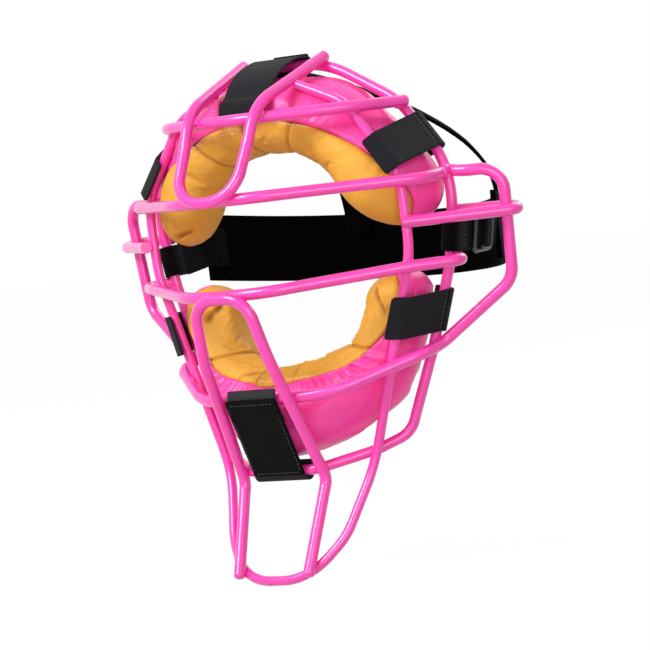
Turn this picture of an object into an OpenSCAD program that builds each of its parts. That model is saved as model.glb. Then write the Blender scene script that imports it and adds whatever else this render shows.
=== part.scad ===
// Umpire's wire face mask with two removable pads and a head harness.
// The origin is the centre of the eye opening, in the plane of the rear frame. The wearer
// looks along -Y, +X is to the right in the front view and +Z is up.

/* [Cage wire] */
// Diameter of the sight bars, loops and guards
bar_d = 6; // [5:0.5:6.5]
// Diameter of the front frame wire
frame_d = 5; // [4:0.5:5.5]
// Diameter of the rear frame wire
rim_d = 5.5; // [5:0.5:6]
// How deep two welded wires sink into each other
weld = 0.6; // [0.4:0.1:1]

/* [Cage size] */
// Half width of the front frame at the eye opening
frame_half_w = 81; // [78:1:83]
// Half width of the rear frame at the temples
rim_half_w = 97; // [95:1:99]
// Height of the eye opening between the two sight bars
eye_h = 48; // [46:1:50]
// Height of the brow bar above the origin
brow_z = 63.5; // [62:0.5:65]
// Height of the top of the rear frame above the origin
crown_z = 88; // [86:1:91]
// Depth of the jaw bar below the origin
jaw_z = 79; // [77:1:81]
// Depth of the lowest wire of the rear frame below the origin
throat_z = 117.5; // [116:0.5:120]
// Depth of the chin loop below the origin
chin_z = 171.5; // [168:0.5:176]
// How far the front frame stands in front of the rear frame
frame_depth = 24; // [23:0.5:25]
// How far the nose of the upper sight bar stands in front of the rear frame
nose_depth = 76.5; // [75:0.5:78]
// Half width of the two ear guards
ear_half_w = 119; // [118:1:122]

/* [Pads] */
// Thickness of the vinyl covers
cover_t = 1.2; // [1:0.1:1.6]
// Thickness of the leather linings
lining_t = 1.6; // [1.2:0.1:2]
// Depth of the sewn channels in the linings
channel_depth = 1.2; // [0.6:0.1:1.6]

/* [Tabs] */
// Width of the side tabs
tab_w = 22; // [18:1:24]
// Width of the top tab
top_tab_w = 29; // [24:1:32]
// Width of the chin tab
chin_tab_w = 32; // [28:1:33]
// Thickness of the hook-and-loop webbing
webbing_t = 1.4; // [1:0.1:1.8]
// How far a side flap reaches past the frame wire
flap_reach = 7; // [5:0.5:8]

/* [Harness] */
// Width of the side straps
strap_w = 20; // [16:1:21]
// Thickness of the side and crown straps
strap_t = 1.8; // [1.4:0.1:2.2]
// Width of the webbing loops round the rear frame
loop_w = 16; // [12:1:17]
// Width of the band behind the head
band_w = 36; // [32:1:42]
// Thickness of the band behind the head
band_t = 3; // [2:0.5:4]
// How far the band reaches behind the rear frame
band_reach = 120; // [112:1:128]
// Width of each crown strap
crown_strap_w = 14; // [12:1:18]
// Wire of the strap slide
slide_wire_d = 2; // [1.6:0.1:2.2]
// Length of the strap slide along the strap
slide_l = 21; // [19:0.5:23]

/* [Hidden] */
// Clearance between soft pieces and what they touch
gap = 0.3;
// Clearance between the webbing and the wire that it goes round
wrap_gap = 0.6;
sight_z = eye_h / 2;
bar_on_bar = bar_d - weld;
bar_on_frame = (bar_d + frame_d) / 2 - weld;
bar_on_rim = (bar_d + rim_d) / 2 - weld;

// Vectors and lists
function unit(v) = v / norm(v);
function reversed(list) = [for (i = [len(list) - 1 : -1 : 0]) list[i]];
function other_side(p) = [-p.x, p.y, p.z];
// A route given for the right half, from the middle outwards, made whole
function both_sides(right) = concat([for (p = reversed(right)) other_side(p)], right);
function both_radii(right) = concat(reversed(right), right);
// The point of a straight run that lies at a height
function at_height(a, b, z) = a + (b - a) * (z - a.z) / (b.z - a.z);

// Wire bent to its own radius at each point of its route. A free end has a radius of 0, and a
// route without free ends is closed. The straights run a little way into the bends, which are a
// hair thicker, so no two surfaces only touch.
bend_swell = 0.1;
bend_lap = 0.3;
function at(list, i) = list[(i + len(list)) % len(list)];
function leg(route, i) = unit(at(route, i + 1) - at(route, i));
function turn(route, i) = acos(min(1, leg(route, i - 1) * leg(route, i)));
function setback(route, radii, i) = at(radii, i) * tan(turn(route, i) / 2);
function straight_start(route, radii, i) = setback(route, radii, i) - (at(radii, i) > 0 ? bend_lap : 0);

module straight_wire(from, to, d) {
    run = to - from;
    translate(from)
        rotate([0, acos(run.z / norm(run)), atan2(run.y, run.x)])
            cylinder(h = norm(run), d = d, $fn = 32);
}

module bend(route, radii, i, d) {
    along = leg(route, i - 1);
    axis = unit(cross(along, leg(route, i)));
    inward = cross(axis, along);
    centre = route[i] - along * setback(route, radii, i) + inward * radii[i];
    multmatrix([[-inward.x, along.x, axis.x, centre.x],
                [-inward.y, along.y, axis.y, centre.y],
                [-inward.z, along.z, axis.z, centre.z],
                [0, 0, 0, 1]])
        rotate_extrude(angle = turn(route, i), $fn = 96)
            translate([radii[i], 0]) circle(d = d, $fn = 32);
}

module bent_wire(route, radii, d) {
    closed = radii[0] > 0;
    for (i = [0 : len(route) - (closed ? 1 : 2)])
        straight_wire(at(route, i) + leg(route, i) * straight_start(route, radii, i),
                      at(route, i + 1) - leg(route, i) * straight_start(route, radii, i + 1), d);
    for (i = [0 : len(route) - 1])
        if (radii[i] > 0) bend(route, radii, i, d + bend_swell);
}

// Rear frame: one closed wire that the pads and the harness hang on
rim_crown = [26, 0, crown_z];
rim_brow = [rim_half_w - 29, 0, crown_z - 23.5];
rim_temple = [rim_half_w, 0, sight_z + 3];
rim_cheek = [rim_half_w - 9, 0, 3 - sight_z];
rim_jaw = [rim_half_w - 22.5, -3, 17 - jaw_z];
rim_corner = [rim_half_w - 37, -11, 13 - throat_z];
rim_turn = [46, -22.5, 6.5 - throat_z];
rim_throat = [20, -42, -throat_z];
rim_right = [rim_crown, rim_brow, rim_temple, rim_cheek, rim_jaw, rim_corner, rim_turn, rim_throat];
rim_radii = [60, 40, 50, 60, 100, 14, 40, 20];
rim_middle_top = [0, 0, crown_z];
rim_middle_low = [0, rim_throat.y, -throat_z];

module rear_frame() {
    color("hotpink") bent_wire(both_sides(rim_right), both_radii(rim_radii), rim_d);
}

// Front frame: one wire from the forehead round the chin and up again
frame_knee = [frame_half_w, -frame_depth, -12];
frame_throat = [frame_half_w - 35, -frame_depth - 2, -throat_z - 0.5];
frame_temple = [frame_half_w, -frame_depth - 1, sight_z + 2];
frame_brow = [frame_half_w - 27, -frame_depth - 2, brow_z + 2.5];
frame_end = [26.5, -frame_depth - 4, brow_z + 14.5];
frame_right = [[20, -59, -chin_z], [36, -44, 19.5 - chin_z], frame_throat, frame_knee,
               frame_temple, frame_brow, frame_end];
frame_radii = [30, 40, 60, 60, 40, 30, 0];

module front_frame() {
    color("hotpink") bent_wire(both_sides(frame_right), both_radii(frame_radii), frame_d);
}

// Bars that cross the front frame on its outside, at the slope of the face
side_slope = 40;
outward = [sin(side_slope), -cos(side_slope), 0];
upper_sight_right = [
    [22, -nose_depth, sight_z],
    at_height(frame_temple, frame_knee, sight_z) + outward * bar_on_frame - [1, 0, 0],
    [rim_half_w - 4.5, -20, sight_z],
    [rim_half_w - 4.2, weld - rim_d / 2, sight_z + 1.5]];
upper_sight_radii = [40, 60, 16, 0];

module upper_sight_bar() {
    color("hotpink") bent_wire(both_sides(upper_sight_right), both_radii(upper_sight_radii), bar_d);
}

lower_sight_z = 5 - sight_z;
lower_nose = nose_depth - 2;
lower_sight_end = at_height(rim_temple, rim_cheek, lower_sight_z + 1);
lower_sight_right = [
    [22, -lower_nose, -sight_z],
    at_height(frame_knee, frame_throat, lower_sight_z - 0.5) + outward * bar_on_frame,
    [rim_half_w + 6.5, -6, lower_sight_z],
    lower_sight_end + [rim_d / 2 - weld, 0, 0]];
lower_sight_radii = [40, 60, 6, 0];

module lower_sight_bar() {
    color("hotpink") bent_wire(both_sides(lower_sight_right), both_radii(lower_sight_radii), bar_d);
}

// The brow bar passes in front of the front frame and ends on the rear frame
brow_right = [[14, -57.5, brow_z], [59, -33, brow_z], [rim_half_w - 23.2, -2.5, brow_z]];
brow_radii = [38, 50, 0];

module brow_bar() {
    color("hotpink") bent_wire(both_sides(brow_right), both_radii(brow_radii), bar_d);
}

// Jaw bar, whose ends rise to the temples as the ear guards
ear_low = [ear_half_w - 2, 12, -32];
ear_high = [ear_half_w + 2, 8, sight_z + 1];
jaw_right = [[18, -57.5, -jaw_z], [42, -49.2, 1 - jaw_z], [frame_half_w - 3, -17, 15 - jaw_z],
             [rim_half_w - 17.6, -2.5, 18 - jaw_z], ear_low, ear_high, [rim_half_w + 5, -1, sight_z + 1],
             [rim_half_w - 2, 0, sight_z + 2]];
jaw_radii = [40, 50, 20, 11, 14, 12, 18, 0];

module jaw_and_ear_guard() {
    color("hotpink") bent_wire(both_sides(jaw_right), both_radii(jaw_radii), bar_d);
}

// Hooked bar on each side, from the front frame round the ear guard to the rear frame
side_bar_z = 3;
side_bar_root = at_height(frame_temple, frame_knee, side_bar_z) + outward * bar_on_frame;
side_bar_pass = at_height(ear_high, ear_low, side_bar_z) + outward * bar_on_bar;
side_bar_run = unit(side_bar_pass - side_bar_root);
side_bar_tip = side_bar_pass + side_bar_run * 5.3;
side_bar_route = [
    side_bar_root - side_bar_run * 2.5,
    side_bar_tip,
    side_bar_tip - outward * 2 * bar_on_bar + [0, 0, 1.5],
    [rim_half_w - 5, bar_on_rim, side_bar_z + 2.5]];
side_bar_radii = [0, 4.6, 4.6, 0];

module side_bar_right() {
    color("hotpink") bent_wire(side_bar_route, side_bar_radii, bar_d);
}

module side_bar_left() {
    mirror([1, 0, 0]) side_bar_right();
}

// Two loops in the middle, in front of the sight bars
forehead_right = [[18.5, -nose_depth - bar_on_bar - 0.5, sight_z], [20, -67, sight_z + 27],
                  [21.3, -58.5, brow_z + 6.5], [26, -1, crown_z + bar_on_rim - 2]];
forehead_radii = [17, 60, 30, 0];

module forehead_loop() {
    color("hotpink") bent_wire(both_sides(forehead_right), both_radii(forehead_radii), bar_d);
}

mouth_right = [[16, -lower_nose - bar_on_bar, -sight_z - 1], [20.5, -71, -58],
               [26, -41.5, -throat_z - 4.5], [22, -61, 3.5 - chin_z]];
mouth_radii = [14, 60, 9, 0];

module mouth_loop() {
    color("hotpink") bent_wire(both_sides(mouth_right), both_radii(mouth_radii), bar_d);
}

// Pads: each is lofted through sections that stand on an arch round the face. A row of a pad's
// table gives an angle from the middle of the arch, the radius and the depth of the section's
// centre, its half length and half thickness, the tilt of its length from straight back, and
// where the front and the rear seam lie round the section.
// Across the face they grow and shrink with the narrower of the two frames.
pad_table_w = 97;
frame_step = 16;
pad_spread = min(rim_half_w, frame_half_w + frame_step) / pad_table_w;
function read(pad, column, angle) =
    lookup(abs(angle), [for (row = pad[0]) [row[0], row[column]]]);
function arch_point(pad, angle, out, back) =
    let (r = read(pad, 1, angle) + out)
    [r * sin(angle) * pad_spread, read(pad, 2, angle) + back, pad[1] + pad[2] * r * cos(angle)];
function squared(v) = sign(v) * pow(abs(v), 0.85);

// A point of a section, sunk below the surface by an inset, with the two ends of a pad rounded
function pad_point(pad, angle, around, inset) =
    let (a = abs(angle), from = pad[3], to = pad[4],
         end = a <= from ? 1 : sqrt(max(0.08, 1 - pow((a - from) / (to - from), 2))),
         along = (read(pad, 3, angle) * end - inset) * squared(sin(around)),
         across = (read(pad, 4, angle) * end - inset) * squared(cos(around)),
         tilt = read(pad, 5, angle))
    arch_point(pad, angle, across * cos(tilt) + along * sin(tilt), along * cos(tilt) - across * sin(tilt));

// Closed skin through rings that have as many points each
module loft(rings) {
    count = len(rings[0]);
    last = len(rings) - 1;
    sides = [for (i = [0 : last - 1]) for (j = [0 : count - 1])
        let (k = (j + 1) % count, a = i * count, b = a + count)
        each [[a + j, a + k, b + k], [a + j, b + k, b + j]]];
    caps = [reversed([for (j = [0 : count - 1]) j]), [for (j = [0 : count - 1]) last * count + j]];
    polyhedron([for (ring = rings) each ring], concat(sides, caps), convexity = 8);
}

// The sections stand closer together towards the ends, where the pad rounds off
pad_steps = 28;
function pad_angles(pad) =
    [for (i = [0 : pad_steps]) let (t = 2 * i / pad_steps - 1)
        pad[2] * pad[4] * (1.3 - 0.3 * t * t) * t];

module pad_core(pad, inset) {
    loft([for (angle = pad_angles(pad))
        [for (j = [0 : 19]) pad_point(pad, angle, j * 18, inset)]]);
}

// Skin of one pad from one seam to the other, with its sewn channels drawn in
function channel(pad, angle) =
    len([for (c = pad[5]) if (abs(angle - c) < pad[4] / pad_steps) c]) > 0 ? channel_depth : 0;
module pad_skin(pad, from, to, thickness, steps) {
    loft([for (angle = pad_angles(pad))
        let (sink = from[0] == rear ? channel(pad, angle) : 0,
             a = read(pad, from[0], angle) + from[1], b = read(pad, to[0], angle) + to[1])
        concat([for (j = [0 : steps]) pad_point(pad, angle, a + (b - a) * j / steps, sink)],
               [for (j = [steps : -1 : 0])
                   pad_point(pad, angle, a + (b - a) * j / steps, sink + thickness)])]);
}

// The table, the height of the arch's centre, whether the arch stands up or hangs down, the
// angles where the ends begin and stop, and the angles of the sewn channels
upper_pad = [[[0, 50, -15, 20, 18.5, 6, -88, 70],
              [14, 51, -13.5, 23, 18.3, 14, -82, 72],
              [26, 53.6, -11.5, 25, 18, 22, -72, 75],
              [40, 55.5, -11.5, 24.5, 17, 28, -55, 80],
              [55, 58, -13, 23, 16, 35, -32, 88],
              [90, 67.6, -8.4, 27, 17.2, 34, 5, 95]], 14, 1, 80, 101, [-45, -9, 28]];
lower_pad = [[[0, 50.5, -35, 18, 23, 0, -131, 62],
              [25, 51.5, -27, 21.5, 21.5, 16, -119, 66],
              [45, 53.7, -15, 25, 17.6, 24, -93, 70],
              [68, 55.7, -9, 19.5, 15, 16, -72, 64],
              [90, 60, -5, 17, 15, 12, -38, 62]], -38, -1, 93, 106, [-66, -20, 66]];
front = 6;
rear = 7;
core_inset = max(cover_t, lining_t + channel_depth) + gap;
seam_gap = 1;

module pad_cover(pad) {
    color("deeppink") pad_skin(pad, [front, seam_gap], [rear, -seam_gap], cover_t, 9);
}
module pad_lining(pad) {
    color("goldenrod") pad_skin(pad, [rear, seam_gap], [front, 360 - seam_gap], lining_t, 11);
}

module upper_pad_core() { color("lightgray") pad_core(upper_pad, core_inset); }
module upper_pad_cover() { pad_cover(upper_pad); }
module upper_pad_lining() { pad_lining(upper_pad); }
module lower_pad_core() { color("lightgray") pad_core(lower_pad, core_inset); }
module lower_pad_cover() { pad_cover(lower_pad); }
module lower_pad_lining() { pad_lining(lower_pad); }

// Webbing: a path in one plane, given a thickness and a width
function side_of(path, i) =
    let (a = path[max(i - 1, 0)], b = path[i], c = path[min(i + 1, len(path) - 1)],
         u = unit(b == a ? c - b : b - a), v = unit(c == b ? b - a : c - b),
         m = unit([-u.y - v.y, u.x + v.x]))
    m / (m * [-u.y, u.x]);
function thickened(path, t) =
    concat([for (i = [0 : len(path) - 1]) path[i] + side_of(path, i) * t / 2],
           [for (i = [len(path) - 1 : -1 : 0]) path[i] - side_of(path, i) * t / 2]);
module webbing(path, t, w) {
    linear_extrude(w, center = true) polygon(thickened(path, t));
}
function arc(r, from, to, steps) =
    [for (i = [0 : steps]) let (a = from + (to - from) * i / steps) [r * cos(a), r * sin(a)]];

// Local frame with x along the webbing, y out of its face and z across its width
module in_frame(origin, along, across) {
    x = unit(along);
    z = unit(across - (across * x) * x);
    y = cross(z, x);
    multmatrix([[x.x, y.x, z.x, origin.x],
                [x.y, y.y, z.y, origin.y],
                [x.z, y.z, z.z, origin.z],
                [0, 0, 0, 1]])
        children();
}

// A tab goes round the rear frame and its flap comes back over the front of the cage
tab_ring = rim_d / 2 + wrap_gap + webbing_t / 2;
flap_start = 0.4;
// Clearance of a side flap from the front frame, which isn't quite parallel to the tab
wire_slack = 1.2;
module tab_wrap(tuck, w) {
    color("darkslategray")
        webbing(concat([[tuck, -tab_ring]], arc(tab_ring, 270, 90, 14)), webbing_t, w);
}

// A flap is a strip through points that need not lie in one plane, as wide as the vector across
module flap(points, across) {
    last = len(points) - 1;
    color("darkslategray") loft([for (i = [0 : last])
        let (run = unit(points[min(i + 1, last)] - points[max(i - 1, 0)]),
             out = unit(cross(across, run)) * webbing_t / 2)
        [points[i] - across - out, points[i] + across - out,
         points[i] + across + out, points[i] - across + out]]);
}

// Where the tabs of the two sides go round the rear frame and cross the front frame
upper_tab_at = at_height(rim_brow, rim_temple, 46);
upper_tab_across = unit(rim_brow - rim_temple + [1.6, 0, 0]);
upper_tab_over = at_height(frame_brow, frame_temple, 38);
lower_tab_at = at_height(rim_cheek, rim_jaw, -43);
lower_tab_across = unit(rim_cheek - rim_jaw);
lower_tab_over = at_height(frame_knee, frame_throat, -44);

side_tuck = 3;
module tab_frame(at, over, across) {
    in_frame(at, (over - at) - ((over - at) * across) * across, across) children();
}
// Outward from the line between the two wires, square to the tab
function tab_out(at, over, across) = unit(cross(across, over - at));
module side_flap(at, over, across) {
    run = unit((over - at) - ((over - at) * across) * across);
    drift = (over - at) - ((over - at) * run) * run;
    reach = (over - at) * run;
    out = tab_out(at, over, across);
    rise = frame_d / 2 + wire_slack + webbing_t / 2;
    flap([at + run * flap_start + out * tab_ring,
          at + run * (reach - 3) + drift * 0.9 + out * (rise + 0.4),
          at + run * (reach + 1.5) + drift * 1.05 + out * (rise - 0.4),
          at + run * (reach + flap_reach) + drift * 1.3 + out * (rise - 4)], across * tab_w / 2);
}

module upper_tab_right() {
    tab_frame(upper_tab_at, upper_tab_over, upper_tab_across) tab_wrap(side_tuck, tab_w);
}
module upper_tab_flap_right() { side_flap(upper_tab_at, upper_tab_over, upper_tab_across); }
module upper_tab_left() { mirror([1, 0, 0]) upper_tab_right(); }
module upper_tab_flap_left() { mirror([1, 0, 0]) upper_tab_flap_right(); }
module lower_tab_right() {
    tab_frame(lower_tab_at, lower_tab_over, lower_tab_across) tab_wrap(side_tuck, tab_w);
}
module lower_tab_flap_right() { side_flap(lower_tab_at, lower_tab_over, lower_tab_across); }
module lower_tab_left() { mirror([1, 0, 0]) lower_tab_right(); }
module lower_tab_flap_left() { mirror([1, 0, 0]) lower_tab_flap_right(); }

// The top tab comes down in front of the forehead pad to the brow bar
module top_tab_frame() {
    in_frame(rim_middle_top, [0, -1, 0], [-1, 0, 0]) children();
}
module top_tab() { top_tab_frame() tab_wrap(6, top_tab_w); }
module top_tab_flap() {
    top = crown_z + tab_ring;
    flap([[0, -flap_start, top], [0, -9, top - 0.2], [0, -21, top - 4.2], [0, -30, top - 10],
          [0, -36.2, top - 17.5], [0, -40.5, brow_z + 9], [0, -42.5, brow_z + 2]],
         [-top_tab_w / 2, 0, 0]);
}

// The chin tab goes round the lowest wire and up over the jaw bar
chin_along = [0, -15.5, throat_z - jaw_z];
module chin_tab_frame() {
    in_frame(rim_middle_low, chin_along, [1, 0, 0]) children();
}
chin_ring = rim_d / 2 + 0.8 + webbing_t / 2;
chin_tuck = 4;
jaw_over = norm(chin_along);
jaw_rise = bar_d / 2 + gap + webbing_t / 2;
module chin_tab() {
    color("darkslategray") chin_tab_frame()
        webbing(concat([[chin_tuck, -chin_ring]], arc(chin_ring, 270, 90, 14)), webbing_t, chin_tab_w);
}
module chin_tab_anchor() {
    color("dimgray") chin_tab_frame()
        webbing([[jaw_over + 7, jaw_rise - 2.5], [jaw_over + 3, jaw_rise], [jaw_over - 3, jaw_rise],
                 [jaw_over - 12, jaw_rise - 1]], webbing_t, chin_tab_w - 2);
}
module chin_tab_flap() {
    lift = jaw_rise + webbing_t + gap;
    color("black") chin_tab_frame()
        webbing([[flap_start, chin_ring], [jaw_over - 14, lift - 0.6], [jaw_over - 3, lift],
                 [jaw_over + 3.5, lift]], webbing_t, chin_tab_w);
}

// Harness: a band behind the head on two side straps and two crown straps
band_centre_y = -6;
band_half_w = rim_half_w - 3;
function band_point(a) =
    let (y = band_centre_y + (band_reach - band_centre_y) * sin(a))
    [band_half_w * cos(a), y, -2 - 12 * max(0, y - 32) / (band_reach - 32)];
band_from = 29.5;
band_to = 162.5;
loop_at = at_height(rim_temple, rim_cheek, -6.5);

module strap_frame() {
    in_frame(loop_at, band_point(band_from) - loop_at, rim_cheek - rim_temple) children();
}
left_band_end = other_side(band_point(band_to));
module left_strap_frame() {
    mirror([1, 0, 0])
        in_frame(loop_at, left_band_end - loop_at, rim_cheek - rim_temple) children();
}
right_strap_l = norm(band_point(band_from) - loop_at) - 2 * gap;
left_strap_l = norm(left_band_end - loop_at) - 2;

// Loop of webbing that holds the strap to the rear frame
module strap_loop() {
    ring = rim_d / 2 + wrap_gap + webbing_t / 2;
    lip = strap_t / 2 + gap + webbing_t / 2;
    color("black")
        webbing(concat([[14, -lip], [8, -lip], [3, -ring]], arc(ring, 270, 90, 14),
                       [[3, ring], [8, lip], [14, lip]]), webbing_t, loop_w);
}
strap_start = 10.5;
module strap(length) {
    color("black") translate([strap_start, -strap_t / 2, -strap_w / 2])
        cube([length - strap_start, strap_t, strap_w]);
}
rim_down = unit(rim_cheek - rim_temple);
module strap_loop_right() { tab_frame(loop_at, band_point(band_from), rim_down) strap_loop(); }
module strap_loop_left() {
    mirror([1, 0, 0]) tab_frame(loop_at, left_band_end, rim_down) strap_loop();
}
module side_strap_right() { strap_frame() strap(right_strap_l); }
module side_strap_left() { left_strap_frame() strap(left_strap_l); }

// Wire slide on the right strap, and the webbing folded over its middle bar
slide_from = 25;
slide_w = strap_w + 2;
slide_y = strap_t / 2 + gap + slide_wire_d / 2;
module strap_slide() {
    a = slide_from;
    b = slide_from + slide_l;
    h = slide_w / 2;
    corners = [[a, slide_y, h], [a, slide_y, -h], [b, slide_y, -h], [b, slide_y, h]];
    color("dimgray") strap_frame() {
        bent_wire(corners, [3, 3, 3, 3], slide_wire_d);
        straight_wire([(a + b) / 2, slide_y, -h], [(a + b) / 2, slide_y, h], slide_wire_d);
    }
}
module strap_fold() {
    low = strap_t / 2 + gap + webbing_t / 2;
    high = slide_y + slide_wire_d / 2 + gap + webbing_t / 2;
    middle = slide_from + slide_l / 2;
    reach = slide_l / 2 - slide_wire_d / 2 - gap;
    color("black") strap_frame()
        webbing([[middle - reach, low], [middle - 5, low], [middle - 2, high], [middle + 2, high],
                 [middle + 5, low], [middle + reach, low]], webbing_t, strap_w - 3);
}

// The band stands upright and follows half an ellipse
band_steps = 30;
module back_band() {
    rings = [for (i = [0 : band_steps])
        let (a = band_from + (band_to - band_from) * i / band_steps, p = band_point(a),
             out = unit([cos(a) / band_half_w, sin(a) / (band_reach - band_centre_y), 0]) * band_t / 2,
             up = [0, 0, band_w / 2])
        [p - out - up, p + out - up, p + out + up, p - out + up]];
    color("black") loft(rings);
}

// Crown straps: from the top tab over the head to the band, flat against a round head
patch_y = rim_d / 2 + wrap_gap + webbing_t + gap;
module crown_patch() {
    color("black") translate([-tab_w / 2, patch_y, crown_z - 8]) cube([tab_w, strap_t, 14]);
}
head_centre = [0, 30, 0];
crown_start = [tab_w / 4, patch_y + strap_t + 3.3, crown_z - 5];
crown_lift = 1.35;
crown_bulge = band_w + 14;
// A curve drawn from the patch towards a point over the back of the head, and down to the band.
// The foot is the angle where it meets the band, and a fuller strap bulges further back.
function crown_point(t, foot, fullness) =
    let (end = band_point(foot) + [0, 0, band_w / 2 + crown_lift],
         under = crown_start + (end - crown_start) * fullness,
         pull = [under.x, under.y, crown_bulge])
    crown_start * (1 - t) * (1 - t) + pull * 2 * t * (1 - t) + end * t * t;
crown_steps = 14;
module crown_strap(foot, fullness) {
    rings = [for (i = [0 : crown_steps])
        let (t = i / crown_steps, p = crown_point(t, foot, fullness),
             run = unit(crown_point(min(1, t + 0.02), foot, fullness)
                        - crown_point(max(0, t - 0.02), foot, fullness)),
             across = unit(cross(run, unit(p - head_centre))), out = cross(across, run),
             w = (crown_strap_w * (0.6 + 0.4 * min(1, 4 * t))) / 2)
        [p - across * w - out * strap_t / 2, p + across * w - out * strap_t / 2,
         p + across * w + out * strap_t / 2, p - across * w + out * strap_t / 2]];
    color("black") loft(rings);
}
// The harness hangs a little turned, so its right leg meets the band further forward
crown_foot_right = 43;
crown_foot_left = 64;
module crown_strap_right() { crown_strap(crown_foot_right, 0.98); }
module crown_strap_left() { mirror([1, 0, 0]) crown_strap(crown_foot_left, 0.86); }

rear_frame();
front_frame();
forehead_loop();
mouth_loop();
upper_sight_bar();
lower_sight_bar();
brow_bar();
side_bar_left();
side_bar_right();
jaw_and_ear_guard();
upper_pad_core();
upper_pad_cover();
upper_pad_lining();
lower_pad_core();
lower_pad_cover();
lower_pad_lining();
top_tab();
top_tab_flap();
upper_tab_left();
upper_tab_flap_left();
upper_tab_right();
upper_tab_flap_right();
lower_tab_left();
lower_tab_flap_left();
lower_tab_right();
lower_tab_flap_right();
chin_tab();
chin_tab_flap();
chin_tab_anchor();
strap_loop_left();
strap_loop_right();
side_strap_left();
side_strap_right();
strap_slide();
strap_fold();
back_band();
crown_patch();
crown_strap_left();
crown_strap_right();
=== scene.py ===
"""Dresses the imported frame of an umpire's wire face mask: dipped wire, padded leather and vinyl,
webbing tabs and an elastic harness. Lengths below are in millimetres and become metres when a
mesh is made."""

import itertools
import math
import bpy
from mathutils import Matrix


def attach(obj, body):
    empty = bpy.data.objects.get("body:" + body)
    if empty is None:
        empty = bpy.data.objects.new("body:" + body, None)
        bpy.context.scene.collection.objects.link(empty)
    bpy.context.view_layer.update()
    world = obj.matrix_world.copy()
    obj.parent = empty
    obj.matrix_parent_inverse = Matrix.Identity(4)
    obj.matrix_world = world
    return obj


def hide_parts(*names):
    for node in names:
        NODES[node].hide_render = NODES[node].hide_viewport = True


bl_info = {
    "name": "Umpire Mask",
    "version": (1, 0, 0),
    "blender": (4, 5, 0),
    "location": "View3D > Sidebar > Mask",
    "description": "Dresses the frame of a wire face mask with vinyl, leather and webbing",
    "category": "Add Mesh",
}

import bmesh
import bpy
from bpy.props import FloatProperty, FloatVectorProperty, PointerProperty
from mathutils import Matrix, Vector, noise
from mathutils.bvhtree import BVHTree

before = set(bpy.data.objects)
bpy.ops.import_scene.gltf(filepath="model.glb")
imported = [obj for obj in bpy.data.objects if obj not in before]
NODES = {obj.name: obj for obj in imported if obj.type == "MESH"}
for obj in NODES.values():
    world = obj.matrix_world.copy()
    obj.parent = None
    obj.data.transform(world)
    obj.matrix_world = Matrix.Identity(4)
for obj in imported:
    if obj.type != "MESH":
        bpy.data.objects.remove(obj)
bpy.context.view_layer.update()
MM = 0.001
SIDES = (("right", 1), ("left", -1))
WIRES = ("rear_frame", "front_frame", "forehead_loop", "mouth_loop", "upper_sight_bar",
         "lower_sight_bar", "brow_bar", "side_bar_left", "side_bar_right", "jaw_and_ear_guard")


def paint(red, green, blue):
    """A colour as a screen shows it, from 0 to 255, in the linear values that shaders take."""
    def channel(value):
        value /= 255
        return value / 12.92 if value <= 0.04045 else ((value + 0.055) / 1.055) ** 2.4
    return channel(red), channel(green), channel(blue)


def colour_property(name, description, shade):
    return FloatVectorProperty(name=name, description=description, subtype="COLOR",
                               size=3, min=0, max=1, default=paint(*shade))


def length_property(name, description, size, least, most):
    """A length whose values are written in millimetres."""
    return FloatProperty(name=name, description=description, default=size * MM, min=least * MM,
                         max=most * MM, subtype="DISTANCE", unit="LENGTH")


def number_property(name, description, value, most, **kind):
    return FloatProperty(name=name, description=description, default=value, min=0, max=most,
                         **kind)


class MaskColours(bpy.types.PropertyGroup):
    dip: colour_property("Wire dip", "Vinyl that the cage wire is dipped in", (250, 58, 172))
    cover: colour_property("Pad cover", "Vinyl on the outside of the pads", (255, 70, 166))
    leather: colour_property("Pad lining", "Leather that lies on the face", (222, 160, 50))
    webbing: colour_property("Webbing", "Hook-and-loop webbing of the tabs", (20, 21, 25))
    patch: colour_property("Hook patch", "Hook webbing under the chin flap", (38, 39, 41))
    pile: colour_property("Chin flap", "Soft pile of the chin flap", (5, 5, 6))
    elastic: colour_property("Elastic", "Elastic of the head harness", (3, 2, 3))
    thread: colour_property("Thread", "Thread of the double seam", (250, 226, 214))
    slide: colour_property("Slide", "Wire slide on the strap", (58, 59, 62))


class PadSettings(bpy.types.PropertyGroup):
    crown: length_property("Crown", "How far the linings swell between their seams", 0.9, 0, 3)
    seam: length_property("Seam depth", "How far the leather turns in at a seam", 1.2, 0, 3)
    channel: length_property("Channel depth", "Depth of the sewn channels", 2.2, 0, 4)
    ruche: length_property("Ruche", "Height of the gathers under the chin seam", 1.5, 0, 3)
    pressure: number_property("Stuffing", "How hard the foam presses on the skins", 40, 500)
    slack: number_property("Slack", "Part by which the skins are cut too long", 0.014, 0.2,
                           subtype="FACTOR")


class WebbingSettings(bpy.types.PropertyGroup):
    thickness: length_property("Thickness", "Thickness of the tab webbing", 1.4, 0.5, 3)
    corner: length_property("Corner", "Radius of the flaps' cut corners", 1.6, 0, 5)
    stitch: length_property("Stitch", "Length of one stitch of the seams", 2.6, 1, 6)


class StageSettings(bpy.types.PropertyGroup):
    key: number_property("Key light", "Power of the main lamp", 40, 500, unit="POWER")
    fill: number_property("Fill light", "Power of the fill lamp", 18, 500, unit="POWER")
    world: number_property("Surround", "Strength of the even light around", 0.3, 3)


def settings():
    return bpy.context.scene.mask


# Materials

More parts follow.
